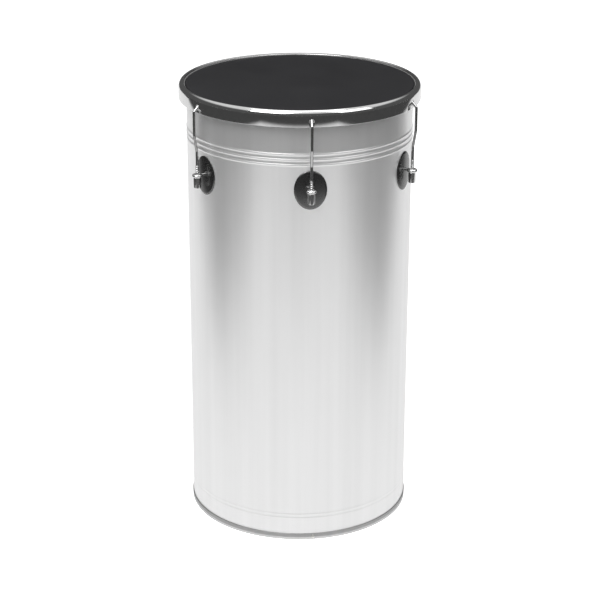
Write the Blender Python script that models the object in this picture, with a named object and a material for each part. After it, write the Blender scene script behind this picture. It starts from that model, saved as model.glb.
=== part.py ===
# Tantan: a tall hand drum with one head, an aluminium shell and six hook-and-eye lugs.
# Metres, +Z up. The origin is the centre of the base, and the first lug faces -Y.
import math

import bmesh
import bpy
from mathutils import Matrix

# Gaps between pieces
SEAT_GAP = 0.0003
HOLE_CLEARANCE = 0.0003
THREAD_CLEARANCE = 0.0004
EYE_CLEARANCE = 0.0005
SKIN_TO_FLESH_HOOP = 0.0006
FLESH_HOOP_TO_SKIRT = 0.0019
SKIN_TO_LIP = 0.0018
HOOK_TO_FLESH_HOOP = 0.0004
HOOK_TO_SKIRT = 0.0038

# Shell: one rolled sheet with swaged beads
SHELL_RADIUS = 0.175
SHELL_WALL = 0.0012
SHELL_LENGTH = 0.698
TOP_BEAD_COUNT = 3
TOP_BEAD_DROP = 0.0653
TOP_BEAD_PITCH = 0.008
TOP_BEAD_WIDTH = 0.005
TOP_BEAD_RISE = 0.0009
LOW_BEAD_COUNT = 2
LOW_BEAD_LIFT = 0.036
LOW_BEAD_PITCH = 0.0063
LOW_BEAD_WIDTH = 0.0045
LOW_BEAD_RISE = 0.0004

# Base ring: a U-section trim, and the pop rivet that closes it
BASE_RING_HEIGHT = 0.010
BASE_RING_SHEET = 0.0009
RIVET_ANGLE = 2.1
RIVET_SHANK_RADIUS = 0.0016
RIVET_HEAD_RADIUS = 0.003
RIVET_HEAD_HEIGHT = 0.001
RIVET_TAIL_RADIUS = 0.0026
RIVET_TAIL_HEIGHT = 0.0015
MANDREL_HOLE_RADIUS = 0.0008
MANDREL_HOLE_DEPTH = 0.0006

# Head: the drumskin and its flesh hoop
SKIN_THICKNESS = 0.0012
SKIN_COLLAR_LENGTH = 0.0095
SKIN_EDGE_RADIUS = 0.0022
FLESH_HOOP_WIDTH = 0.0068
FLESH_HOOP_HEIGHT = 0.008
FLESH_HOOP_CHAMFER = 0.0012

# Counter hoop: one pressed band
HOOP_SHEET = 0.0012
LIP_ABOVE_EDGE = 0.0011
LIP_DROP = 0.0014
SHOULDER_WIDTH = 0.006
SHOULDER_HEIGHT = 0.0085
SKIRT_BELOW_HOLE = 0.005

# Lugs: plate, eye bolt, washer and nut
LUG_COUNT = 6
PLATE_WIDTH = 0.049
PLATE_HEIGHT = 0.060
PLATE_SHEET = 0.0012
PLATE_DOME = 0.0016
PLATE_BELOW_BEAD = 0.0055
BOLT_ABOVE_PLATE_CENTRE = 0.002
EYE_NECK = 0.003
EYE_WIRE_RADIUS = 0.0025
WASHER_RADIUS = 0.0075
WASHER_THICKNESS = 0.001
EYE_NUT_WIDTH = 0.008
EYE_NUT_HEIGHT = 0.004
BOLT_PAST_NUT = 0.003

# Tension hooks and tuning nuts
THREAD_RADIUS = 0.0025
ROD_RADIUS = 0.0022
THREAD_ABOVE_EYE = 0.018
JOGGLE_ABOVE_EYE = 0.038
JOGGLE_LENGTH = 0.025
BEND_RADIUS = 0.004
HOOK_ANGLE = 45.0
HOOK_REACH = 0.0036
TUNING_NUT_WIDTH = 0.010
TUNING_NUT_HEIGHT = 0.0165
TUNING_NUT_CHAMFER = 0.0012
TUNING_NUT_TURN = 30.0
ROD_END_INSIDE_NUT = 0.0006

# Facets
RING_SIDES = 60
ROD_SIDES = 8
NUT_SIDES = 12
PLATE_SIDES = 20
EYE_SIDES = 14
BEND_STEPS = 2

# Heights that follow from the sizes above
shell_bottom = BASE_RING_SHEET + SEAT_GAP
shell_top = shell_bottom + SHELL_LENGTH
skin_top = shell_top + SEAT_GAP + SKIN_THICKNESS
lip_underside = shell_top + LIP_ABOVE_EDGE
lip_top = lip_underside + HOOP_SHEET
hoop_crown = lip_top + LIP_DROP
flesh_hoop_top = lip_underside - SEAT_GAP
flesh_hoop_bottom = flesh_hoop_top - FLESH_HOOP_HEIGHT

# Radii of the rings, from the shell outwards
shell_inner = SHELL_RADIUS - SHELL_WALL
skin_inner = SHELL_RADIUS + SEAT_GAP
skin_outer = skin_inner + SKIN_THICKNESS
flesh_hoop_inner = skin_outer + SKIN_TO_FLESH_HOOP
flesh_hoop_outer = flesh_hoop_inner + FLESH_HOOP_WIDTH
skirt_inner = flesh_hoop_outer + FLESH_HOOP_TO_SKIRT
skirt_outer = skirt_inner + HOOP_SHEET
lip_radius = skin_outer + SKIN_TO_LIP

# Lug places: the plate hangs below the lowest top bead, the eye stands clear of the plate
lowest_bead = shell_top - TOP_BEAD_DROP - (TOP_BEAD_COUNT - 1) * TOP_BEAD_PITCH
plate_centre = lowest_bead - TOP_BEAD_WIDTH / 2 - PLATE_BELOW_BEAD - PLATE_HEIGHT / 2
bolt_height = plate_centre + BOLT_ABOVE_PLATE_CENTRE
bolt_hole_radius = EYE_WIRE_RADIUS + HOLE_CLEARANCE
plate_face = SHELL_RADIUS + SEAT_GAP + PLATE_DOME + PLATE_SHEET
eye_centre_line = THREAD_RADIUS + EYE_CLEARANCE + EYE_WIRE_RADIUS
eye_outer = eye_centre_line + EYE_WIRE_RADIUS
lower_rod = plate_face + EYE_NECK + eye_outer
upper_rod = skirt_outer + HOOK_TO_SKIRT + ROD_RADIUS

# Hook hole: the tilted tip passes through the skirt just under the flesh hoop
tilt = math.radians(HOOK_ANGLE)
skirt_middle = (skirt_inner + skirt_outer) / 2
tip_rise = HOOK_REACH * math.sin(tilt) + ROD_RADIUS * math.cos(tilt)
hook_hole_height = flesh_hoop_bottom - HOOK_TO_FLESH_HOOP - tip_rise
hook_hole_radius = ROD_RADIUS / math.cos(tilt) + HOOP_SHEET / 2 * math.tan(tilt) + SEAT_GAP
skirt_bottom = hook_hole_height - hook_hole_radius - SKIRT_BELOW_HOLE

# Tuning nut and rod end
nut_top = bolt_height - EYE_WIRE_RADIUS - SEAT_GAP
nut_bottom = nut_top - TUNING_NUT_HEIGHT
rod_end = nut_bottom + ROD_END_INSIDE_NUT

# A polygon's flats lie this share of its radius from its axis
ring_flat = math.cos(math.pi / RING_SIDES)


def clear_scene():
    for obj in list(bpy.data.objects):
        bpy.data.objects.remove(obj, do_unlink=True)


def plain_material(name, colour, roughness, metallic):
    material = bpy.data.materials.new(name)
    material.use_nodes = True
    shader = material.node_tree.nodes["Principled BSDF"]
    shader.inputs["Base Color"].default_value = (*colour, 1.0)
    shader.inputs["Roughness"].default_value = roughness
    shader.inputs["Metallic"].default_value = metallic
    material.diffuse_color = (*colour, 1.0)
    return material


def add_object(name, mesh, material=None, parent=None, location=(0, 0, 0), turn=0.0):
    obj = bpy.data.objects.new(name, mesh)
    bpy.context.collection.objects.link(obj)
    if material and not mesh.materials:
        mesh.materials.append(material)
    obj.parent = parent
    obj.location = location
    obj.rotation_euler = (0, 0, turn)
    return obj


def add_cutter(name, mesh):
    cutter = add_object(name, mesh)
    cutter.hide_render = True
    cutter.display_type = "WIRE"
    return cutter


def cut(obj, cutter):
    boolean = obj.modifiers.new(cutter.name, "BOOLEAN")
    boolean.operation = "DIFFERENCE"
    boolean.object = cutter
    boolean.solver = "EXACT"


def finish_mesh(bm, name, sharp_angle=35.0):
    bmesh.ops.recalc_face_normals(bm, faces=bm.faces)
    mesh = bpy.data.meshes.new(name)
    bm.to_mesh(mesh)
    bm.free()
    mesh.shade_smooth()
    mesh.set_sharp_from_angle(angle=math.radians(sharp_angle))
    return mesh


def join_rings(bm, lower, upper):
    count = len(lower)
    for i in range(count):
        after = (i + 1) % count
        bm.faces.new((lower[i], lower[after], upper[after], upper[i]))


def turned(name, profile, sides, closed, sharp_angle=35.0):
    """A solid of revolution about Z. A closed profile makes a ring, an open one is capped."""
    bm = bmesh.new()
    rings = []
    for radius, height in profile:
        ring = []
        for i in range(sides):
            angle = 2 * math.pi * i / sides
            ring.append(bm.verts.new((radius * math.cos(angle), radius * math.sin(angle), height)))
        rings.append(ring)
    for before, after in zip(rings, rings[1:]):
        join_rings(bm, before, after)
    if closed:
        join_rings(bm, rings[-1], rings[0])
    else:
        bm.faces.new(rings[0])
        bm.faces.new(rings[-1])
    return finish_mesh(bm, name, sharp_angle)


def arc_points(centre, radii, start, end, steps):
    """Points on a quarter of an ellipse, as (radius, height) pairs; angles in degrees."""
    points = []
    for i in range(steps + 1):
        angle = math.radians(start + (end - start) * i / steps)
        points.append((centre[0] + radii[0] * math.cos(angle),
                       centre[1] + radii[1] * math.sin(angle)))
    return points


def radial_cylinders(name, radius, angles, height, inner, outer, sides=16):
    """Round bars that lie along the radii at the given angles, to cut bolt holes with."""
    bm = bmesh.new()
    for angle in angles:
        place = (Matrix.Rotation(angle, 4, "Z")
                 @ Matrix.Translation(((inner + outer) / 2, 0, height))
                 @ Matrix.Rotation(math.pi / 2, 4, "Y"))
        bmesh.ops.create_cone(bm, cap_ends=True, segments=sides, radius1=radius, radius2=radius,
                              depth=outer - inner, matrix=place)
    return finish_mesh(bm, name)


def bead_profile(wall_radius):
    """The shell's side from the floor up, with a bump for each bead."""
    beads = [(shell_bottom + LOW_BEAD_LIFT + i * LOW_BEAD_PITCH, LOW_BEAD_WIDTH, LOW_BEAD_RISE)
             for i in range(LOW_BEAD_COUNT)]
    beads += [(shell_top - TOP_BEAD_DROP - i * TOP_BEAD_PITCH, TOP_BEAD_WIDTH, TOP_BEAD_RISE)
              for i in reversed(range(TOP_BEAD_COUNT))]
    points = [(wall_radius, shell_bottom)]
    for centre, width, rise in beads:
        points.append((wall_radius, centre - width / 2))
        points.append((wall_radius + rise, centre))
        points.append((wall_radius, centre + width / 2))
    points.append((wall_radius, shell_top))
    return points


def lug_angles():
    return [math.radians(-90.0) + 2 * math.pi * i / LUG_COUNT for i in range(LUG_COUNT)]


def build_shell():
    profile = bead_profile(SHELL_RADIUS) + bead_profile(shell_inner)[::-1]
    mesh = turned("shell", profile, RING_SIDES, closed=True, sharp_angle=60.0)
    shell = add_object("shell", mesh, plain_material("satin aluminium", (0.78, 0.78, 0.79), 0.24, 1.0))
    holes = radial_cylinders("bolt holes", bolt_hole_radius, lug_angles(), bolt_height,
                             shell_inner - BOLT_PAST_NUT, SHELL_RADIUS + BOLT_PAST_NUT)
    cut(shell, add_cutter("bolt holes", holes))
    return shell


def build_base_ring():
    outer_inside = SHELL_RADIUS + SEAT_GAP
    inner_outside = shell_inner - SEAT_GAP
    ring_outer = outer_inside + BASE_RING_SHEET
    ring_inner = inner_outside - BASE_RING_SHEET
    profile = [(ring_outer, 0), (ring_outer, BASE_RING_HEIGHT), (outer_inside, BASE_RING_HEIGHT),
               (outer_inside, BASE_RING_SHEET), (inner_outside, BASE_RING_SHEET),
               (inner_outside, BASE_RING_HEIGHT), (ring_inner, BASE_RING_HEIGHT), (ring_inner, 0)]
    mesh = turned("base_ring", profile, RING_SIDES, closed=True)
    ring = add_object("base_ring", mesh, plain_material("trim aluminium", (0.42, 0.42, 0.43), 0.4, 1.0))
    return ring, ring_inner, ring_outer


def build_base_rivet(shell, ring, ring_inner, ring_outer):
    """A pop rivet that lies along a radius; its local Z points out of the drum."""
    head_seat = ring_outer + SEAT_GAP
    tail_seat = ring_inner * ring_flat - SEAT_GAP
    head_top = head_seat + RIVET_HEAD_HEIGHT
    dimple = head_top - MANDREL_HOLE_DEPTH
    crown = (RIVET_HEAD_RADIUS + RIVET_SHANK_RADIUS) / 2
    profile = [(MANDREL_HOLE_RADIUS, dimple), (MANDREL_HOLE_RADIUS, head_top), (crown, head_top),
               (RIVET_HEAD_RADIUS, (head_seat + head_top) / 2), (RIVET_HEAD_RADIUS, head_seat),
               (RIVET_SHANK_RADIUS, head_seat), (RIVET_SHANK_RADIUS, tail_seat),
               (RIVET_TAIL_RADIUS, tail_seat), (RIVET_TAIL_RADIUS, tail_seat - RIVET_TAIL_HEIGHT)]
    angle = lug_angles()[0] + math.radians(RIVET_ANGLE)
    height = BASE_RING_HEIGHT / 2
    rivet_axis = bpy.data.objects.new("rivet axis", None)
    bpy.context.collection.objects.link(rivet_axis)
    rivet_axis.location = (0, 0, height)
    rivet_axis.rotation_euler = (0, math.pi / 2, angle)
    mesh = turned("base_rivet", profile, NUT_SIDES, closed=False)
    add_object("base_rivet", mesh, plain_material("rivet steel", (0.6, 0.6, 0.61), 0.35, 1.0), rivet_axis)
    hole = radial_cylinders("rivet hole", RIVET_SHANK_RADIUS + HOLE_CLEARANCE, [angle], height,
                            tail_seat - RIVET_TAIL_HEIGHT, head_top, NUT_SIDES)
    cutter = add_cutter("rivet hole", hole)
    cut(shell, cutter)
    cut(ring, cutter)


def build_head():
    """The skin lies on the bearing edge and turns down outside the shell."""
    underside = shell_top + SEAT_GAP
    edge_radius = min(SKIN_EDGE_RADIUS, SKIN_COLLAR_LENGTH)
    edge_centre = (skin_outer - edge_radius, skin_top - edge_radius)
    collar_end = underside - SKIN_COLLAR_LENGTH
    edge = arc_points(edge_centre, (edge_radius, edge_radius), 90.0, 0.0, BEND_STEPS)
    profile = edge + [(skin_outer, collar_end), (skin_inner, collar_end), (skin_inner, underside)]
    mesh = turned("head_membrane", profile, RING_SIDES, closed=False, sharp_angle=50.0)
    add_object("head_membrane", mesh, plain_material("black napa", (0.032, 0.032, 0.034), 0.55, 0.0))


def build_flesh_hoop(hoop_axis):
    """Heights are measured from the bearing edge, where the hoop's own origin is."""
    top = flesh_hoop_top - shell_top
    bottom = flesh_hoop_bottom - shell_top
    chamfer = FLESH_HOOP_CHAMFER
    profile = [(flesh_hoop_inner, bottom), (flesh_hoop_outer, bottom),
               (flesh_hoop_outer, top - chamfer), (flesh_hoop_outer - chamfer, top),
               (flesh_hoop_inner, top)]
    mesh = turned("flesh_hoop", profile, RING_SIDES, closed=True)
    material = plain_material("flesh hoop aluminium", (0.6, 0.6, 0.6), 0.45, 1.0)
    add_object("flesh_hoop", mesh, material, hoop_axis)


def build_counter_hoop(hoop_axis):
    """A vertical skirt, a round shoulder and a lip that reaches in over the flesh hoop."""
    crown_radius = skirt_outer - SHOULDER_WIDTH
    shoulder_centre = (crown_radius, hoop_crown - SHOULDER_HEIGHT)
    outer_radii = (SHOULDER_WIDTH, SHOULDER_HEIGHT)
    inner_radii = (SHOULDER_WIDTH - HOOP_SHEET, SHOULDER_HEIGHT - HOOP_SHEET)
    outer = arc_points(shoulder_centre, outer_radii, 0.0, 90.0, 4)
    inner = arc_points(shoulder_centre, inner_radii, 90.0, 0.0, 4)
    profile = [(skirt_outer, skirt_bottom)] + outer + [(lip_radius, lip_top), (lip_radius, lip_underside)]
    profile += inner + [(skirt_inner, skirt_bottom)]
    profile = [(radius, height - shell_top) for radius, height in profile]
    mesh = turned("counter_hoop", profile, RING_SIDES, closed=True, sharp_angle=50.0)
    hoop = add_object("counter_hoop", mesh, plain_material("hoop chrome", (0.7, 0.7, 0.72), 0.1, 1.0),
                      hoop_axis)
    holes = radial_cylinders("hook holes", hook_hole_radius, lug_angles(), hook_hole_height,
                             flesh_hoop_outer, upper_rod)
    cut(hoop, add_cutter("hook holes", holes))


def plate_mesh():
    """An oval plate that follows the shell's curve and swells towards its middle."""
    bm = bmesh.new()
    hole_rise = BOLT_ABOVE_PLATE_CENTRE
    half_width = PLATE_WIDTH / 2
    half_height = PLATE_HEIGHT / 2
    shares = (0.0, 0.5, 1.0)

    def plate_ring(share, lift):
        ring = []
        for i in range(PLATE_SIDES):
            angle = 2 * math.pi * i / PLATE_SIDES
            across = math.cos(angle) * (bolt_hole_radius + share * (half_width - bolt_hole_radius))
            up = math.sin(angle) * (bolt_hole_radius + share * (half_height - bolt_hole_radius))
            up += hole_rise * (1 - share)
            reach = (across / half_width) ** 2 + (up / half_height) ** 2
            radius = SHELL_RADIUS + SEAT_GAP + lift + PLATE_DOME * max(0.0, 1 - reach)
            turn = across / SHELL_RADIUS
            ring.append(bm.verts.new((radius * math.cos(turn), radius * math.sin(turn), up)))
        return ring

    rings = [plate_ring(share, PLATE_SHEET) for share in shares]
    rings += [plate_ring(share, 0.0) for share in reversed(shares)]
    for before, after in zip(rings, rings[1:] + rings[:1]):
        join_rings(bm, before, after)
    return finish_mesh(bm, "lug_plate", 50.0)


def washer_seat():
    """Distance of the washer's outer face from the drum's axis: its rim meets the hollow wall."""
    wall = shell_inner * ring_flat
    return math.sqrt(wall ** 2 - WASHER_RADIUS ** 2) - SEAT_GAP


def eye_bolt_mesh(shank_end):
    """A round eye on a straight shank. Local X points out of the drum, through the eye."""
    bm = bmesh.new()
    rings = []
    for i in range(EYE_SIDES):
        around = 2 * math.pi * i / EYE_SIDES
        ring = []
        for j in range(ROD_SIDES):
            angle = 2 * math.pi * (j + 0.5) / ROD_SIDES
            reach = eye_centre_line + EYE_WIRE_RADIUS * math.cos(angle)
            ring.append(bm.verts.new((lower_rod + reach * math.cos(around), reach * math.sin(around),
                                      EYE_WIRE_RADIUS * math.sin(angle))))
        rings.append(ring)
    for before, after in zip(rings, rings[1:] + rings[:1]):
        join_rings(bm, before, after)
    eye = add_cutter("eye", finish_mesh(bm, "eye"))
    shank = radial_cylinders("eye_bolt", EYE_WIRE_RADIUS, [0.0], 0.0, shank_end,
                             lower_rod - eye_centre_line, ROD_SIDES + 2)
    bolt = add_object("eye bolt pattern", shank)
    union = bolt.modifiers.new("eye", "BOOLEAN")
    union.operation = "UNION"
    union.object = eye
    union.solver = "EXACT"
    evaluated = bolt.evaluated_get(bpy.context.evaluated_depsgraph_get())
    mesh = bpy.data.meshes.new_from_object(evaluated)
    mesh.name = "eye_bolt"
    mesh.shade_smooth()
    mesh.set_sharp_from_angle(angle=math.radians(50.0))
    bpy.data.objects.remove(bolt, do_unlink=True)
    bpy.data.objects.remove(eye, do_unlink=True)
    return mesh


def hexagon_nut(name, width, height, bore, chamfer):
    """A hexagonal nut on Z with chamfered corners; every second point is a corner."""
    sides = 12
    corner = width / math.sqrt(3)
    flat = width / 2
    bm = bmesh.new()

    def outline(level, round_radius=None):
        ring = []
        for i in range(sides):
            angle = 2 * math.pi * i / sides
            radius = corner if i % 2 == 0 else flat
            if round_radius is not None:
                radius = round_radius
            ring.append(bm.verts.new((radius * math.cos(angle), radius * math.sin(angle), level)))
        return ring

    rings = [outline(0.0, bore), outline(0.0, flat - chamfer / 2), outline(chamfer),
             outline(height - chamfer), outline(height, flat - chamfer / 2), outline(height, bore)]
    for before, after in zip(rings, rings[1:] + rings[:1]):
        join_rings(bm, before, after)
    return finish_mesh(bm, name, 25.0)


def rounded(points, radius, steps):
    """Replaces each inner corner of a path by an arc of the given radius."""
    path = [points[0]]
    for before, corner, after in zip(points, points[1:], points[2:]):
        back = (before[0] - corner[0], before[1] - corner[1])
        forth = (after[0] - corner[0], after[1] - corner[1])
        back_length = math.hypot(*back)
        forth_length = math.hypot(*forth)
        back = (back[0] / back_length, back[1] / back_length)
        forth = (forth[0] / forth_length, forth[1] / forth_length)
        opening = math.acos(max(-1.0, min(1.0, back[0] * forth[0] + back[1] * forth[1])))
        reach = min(radius / math.tan(opening / 2), back_length / 2, forth_length / 2)
        for i in range(steps + 1):
            share = i / steps
            start = (corner[0] + back[0] * reach, corner[1] + back[1] * reach)
            end = (corner[0] + forth[0] * reach, corner[1] + forth[1] * reach)
            weights = ((1 - share) ** 2, 2 * share * (1 - share), share ** 2)
            path.append((weights[0] * start[0] + weights[1] * corner[0] + weights[2] * end[0],
                         weights[0] * start[1] + weights[1] * corner[1] + weights[2] * end[1]))
    path.append(points[-1])
    return path


def hook_mesh():
    """A rod in the plane of its radius: thread, joggle, upright and the tilted tip in the hoop."""
    thread_top = bolt_height + THREAD_ABOVE_EYE
    joggle_bottom = bolt_height + JOGGLE_ABOVE_EYE
    run = upper_rod - skirt_middle
    corner = (upper_rod, hook_hole_height - run * math.tan(tilt))
    tip = (skirt_middle - HOOK_REACH * math.cos(tilt), hook_hole_height + HOOK_REACH * math.sin(tilt))
    bends = rounded([(lower_rod, thread_top), (lower_rod, joggle_bottom),
                     (upper_rod, joggle_bottom + JOGGLE_LENGTH), corner, tip], BEND_RADIUS, BEND_STEPS)
    taper = THREAD_RADIUS - ROD_RADIUS
    path = [(lower_rod, rod_end), (lower_rod, thread_top - taper)] + bends
    widths = [THREAD_RADIUS, THREAD_RADIUS] + [ROD_RADIUS] * len(bends)
    bm = bmesh.new()
    rings = []
    last = len(path) - 1
    for i, (radius, height) in enumerate(path):
        before = path[max(0, i - 1)]
        after = path[min(last, i + 1)]
        direction = math.atan2(after[1] - before[1], after[0] - before[0])
        ring = []
        for j in range(ROD_SIDES):
            angle = 2 * math.pi * j / ROD_SIDES
            across = widths[i] * math.cos(angle)
            side = widths[i] * math.sin(angle)
            ring.append(bm.verts.new((radius + across * math.sin(direction), side,
                                      height - across * math.cos(direction))))
        rings.append(ring)
    for lower, upper in zip(rings, rings[1:]):
        join_rings(bm, lower, upper)
    bm.faces.new(rings[0])
    bm.faces.new(rings[-1])
    bmesh.ops.translate(bm, verts=bm.verts, vec=(0, 0, -shell_top))
    return finish_mesh(bm, "tension_hook", 40.0)


def washer_mesh():
    profile = [(bolt_hole_radius, 0.0), (WASHER_RADIUS, 0.0), (WASHER_RADIUS, WASHER_THICKNESS),
               (bolt_hole_radius, WASHER_THICKNESS)]
    return turned("eye_washer", profile, NUT_SIDES, closed=True)


def build_lugs(hoop_axis):
    """Six lugs, each on an empty that is turned to its angle. Local X points out of the drum."""
    washer_outer = washer_seat()
    nut_outer = washer_outer - WASHER_THICKNESS - SEAT_GAP
    shank_end = nut_outer - EYE_NUT_HEIGHT - BOLT_PAST_NUT
    plate = plate_mesh()
    bolt = eye_bolt_mesh(shank_end)
    washer = washer_mesh()
    eye_nut = hexagon_nut("eye_nut", EYE_NUT_WIDTH, EYE_NUT_HEIGHT, EYE_WIRE_RADIUS + THREAD_CLEARANCE,
                          EYE_NUT_HEIGHT / 10)
    hook = hook_mesh()
    tuning_nut = hexagon_nut("tuning_nut", TUNING_NUT_WIDTH, TUNING_NUT_HEIGHT,
                             THREAD_RADIUS + THREAD_CLEARANCE, TUNING_NUT_CHAMFER)
    plate_chrome = plain_material("plate chrome", (0.5, 0.5, 0.5), 0.1, 1.0)
    bolt_chrome = plain_material("eye bolt chrome", (0.66, 0.66, 0.67), 0.14, 1.0)
    washer_zinc = plain_material("washer zinc", (0.55, 0.55, 0.52), 0.4, 1.0)
    eye_nut_zinc = plain_material("eye nut zinc", (0.55, 0.55, 0.52), 0.38, 1.0)
    hook_chrome = plain_material("hook chrome", (0.6, 0.6, 0.61), 0.14, 1.0)
    nut_chrome = plain_material("tuning nut chrome", (0.66, 0.66, 0.67), 0.16, 1.0)
    # A nut's flat faces outwards at rest
    for number, angle in enumerate(lug_angles(), start=1):
        lug = bpy.data.objects.new(f"lug {number}", None)
        bpy.context.collection.objects.link(lug)
        lug.rotation_euler = (0, 0, angle)
        hook_side = bpy.data.objects.new(f"hook side {number}", None)
        bpy.context.collection.objects.link(hook_side)
        hook_side.parent = hoop_axis
        hook_side.rotation_euler = (0, 0, angle)
        add_object(f"lug_plate_{number}", plate, plate_chrome, lug, (0, 0, plate_centre))
        add_object(f"eye_bolt_{number}", bolt, bolt_chrome, lug, (0, 0, bolt_height))
        for name, mesh, material, outer in (("eye_washer", washer, washer_zinc, washer_outer),
                                            ("eye_nut", eye_nut, eye_nut_zinc, nut_outer)):
            piece = add_object(f"{name}_{number}", mesh, material, lug, (outer, 0, bolt_height))
            piece.rotation_euler = (0, -math.pi / 2, 0)
        add_object(f"tension_hook_{number}", hook, hook_chrome, hook_side)
        add_object(f"tuning_nut_{number}", tuning_nut, nut_chrome, lug, (lower_rod, 0, nut_bottom),
                   math.radians(TUNING_NUT_TURN))


def build_tantan():
    clear_scene()
    shell = build_shell()
    ring, ring_inner, ring_outer = build_base_ring()
    build_base_rivet(shell, ring, ring_inner, ring_outer)
    build_head()
    hoop_axis = bpy.data.objects.new("hoop axis", None)
    bpy.context.collection.objects.link(hoop_axis)
    hoop_axis.location = (0, 0, shell_top)
    build_flesh_hoop(hoop_axis)
    build_counter_hoop(hoop_axis)
    build_lugs(hoop_axis)
    print(f"height {hoop_crown:.4f} m, hoop radius {skirt_outer:.4f} m, rod at {lower_rod:.4f} m,"
          f" eye at {bolt_height:.4f} m, hook hole at {hook_hole_height:.4f} m")


build_tantan()
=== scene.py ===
# Looks for a tall hand drum with six hook-and-eye lugs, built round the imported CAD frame
import math

import bmesh
import bpy
from mathutils import Matrix, Vector


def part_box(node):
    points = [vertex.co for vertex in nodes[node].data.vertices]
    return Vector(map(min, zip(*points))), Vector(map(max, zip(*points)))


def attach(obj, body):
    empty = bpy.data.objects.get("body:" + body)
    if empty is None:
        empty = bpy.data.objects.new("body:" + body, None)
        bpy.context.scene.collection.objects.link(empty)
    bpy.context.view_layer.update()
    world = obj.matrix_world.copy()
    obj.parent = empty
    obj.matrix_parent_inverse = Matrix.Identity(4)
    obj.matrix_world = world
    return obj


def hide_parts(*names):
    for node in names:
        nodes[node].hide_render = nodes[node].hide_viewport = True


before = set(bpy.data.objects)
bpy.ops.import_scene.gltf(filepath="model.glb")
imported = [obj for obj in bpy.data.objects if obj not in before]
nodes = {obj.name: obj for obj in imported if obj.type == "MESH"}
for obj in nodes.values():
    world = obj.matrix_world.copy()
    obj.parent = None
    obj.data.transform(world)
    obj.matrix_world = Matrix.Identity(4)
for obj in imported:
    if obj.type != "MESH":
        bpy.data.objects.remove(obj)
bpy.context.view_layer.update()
print("frame loaded:", len(nodes), "nodes")

lugCount = 6
firstLug = math.radians(-90)
lugAngles = [firstLug + 2 * math.pi * i / lugCount for i in range(lugCount)]


# Materials: levels are linear greys, noise scales are per metre

def newMaterial(name, metallic=0.0):
    mat = bpy.data.materials.new(name)
    mat.use_nodes = True
    tree = mat.node_tree
    shader = tree.nodes["Principled BSDF"]
    shader.inputs["Metallic"].default_value = metallic
    coords = tree.nodes.new("ShaderNodeTexCoord")
    return mat, tree, shader, coords


def noiseOn(tree, coords, noiseScale, detail, distortion=0.0, stretch=(1, 1, 1)):
    mapping = tree.nodes.new("ShaderNodeMapping")
    mapping.inputs["Scale"].default_value = stretch
    noise = tree.nodes.new("ShaderNodeTexNoise")
    noise.inputs["Scale"].default_value = noiseScale
    noise.inputs["Detail"].default_value = detail
    noise.inputs["Distortion"].default_value = distortion
    tree.links.new(coords.outputs["Object"], mapping.inputs["Vector"])
    tree.links.new(mapping.outputs["Vector"], noise.inputs["Vector"])
    return noise.outputs["Fac"]


def rampFrom(tree, source, low, high):
    # low and high are each a place on the ramp and its colour
    ramp = tree.nodes.new("ShaderNodeValToRGB")
    for element, (place, colour) in zip(ramp.color_ramp.elements, (low, high)):
        element.position = place
        element.color = (*colour, 1)
    tree.links.new(source, ramp.inputs["Fac"])
    return ramp.outputs["Color"]


def rangeFrom(tree, source, low, high):
    span = tree.nodes.new("ShaderNodeMapRange")
    span.inputs["To Min"].default_value = low
    span.inputs["To Max"].default_value = high
    tree.links.new(source, span.inputs["Value"])
    return span.outputs["Result"]


def tintFrom(tree, shader, source, low, high):
    tree.links.new(rampFrom(tree, source, low, high), shader.inputs["Base Color"])


def roughFrom(tree, shader, source, low, high):
    tree.links.new(rangeFrom(tree, source, low, high), shader.inputs["Roughness"])


def bumpFrom(tree, shader, source, distance, strength=1.0, under=None):
    bump = tree.nodes.new("ShaderNodeBump")
    bump.inputs["Distance"].default_value = distance
    bump.inputs["Strength"].default_value = strength
    tree.links.new(source, bump.inputs["Height"])
    if under is not None:
        tree.links.new(under.outputs["Normal"], bump.inputs["Normal"])
    tree.links.new(bump.outputs["Normal"], shader.inputs["Normal"])
    return bump


def grey(level):
    return (level, level, level)


sheetGrain = {"streakStretch": (60, 60, 1.2), "streakDetail": 4.0, "streakFrom": 0.3, "streakTo": 0.7,
              "grainStretch": (900, 900, 30), "grainDetail": 2.0, "roughLow": 0.8, "roughHigh": 1.25,
              "waveStretch": (16, 16, 1.0), "waveDetail": 1.0}


def rolledSheet(name, level, rough, streak, waveHeight, metallic=1.0):
    # sheet metal with soft streaks up its length and slow waves from the rolls
    g = sheetGrain
    mat, tree, shader, coords = newMaterial(name, metallic)
    streaks = noiseOn(tree, coords, 1.0, g["streakDetail"], stretch=g["streakStretch"])
    dull = grey(level * (1 - streak))
    tintFrom(tree, shader, streaks, (g["streakFrom"], dull), (g["streakTo"], grey(level)))
    grain = noiseOn(tree, coords, 1.0, g["grainDetail"], stretch=g["grainStretch"])
    roughFrom(tree, shader, grain, rough * g["roughLow"], rough * g["roughHigh"])
    waves = noiseOn(tree, coords, 1.0, g["waveDetail"], stretch=g["waveStretch"])
    bumpFrom(tree, shader, waves, waveHeight)
    return mat


platingGrain = {"mistScale": 120.0, "mistDetail": 4.0, "mistSwirl": 0.6, "mistFrom": 0.35, "mistTo": 0.75,
                "mistShade": 0.92, "mistRough": 0.06, "peelScale": 260.0, "peelDetail": 1.0,
                "peelHeight": 0.00002, "peelStrength": 0.6}


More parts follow.
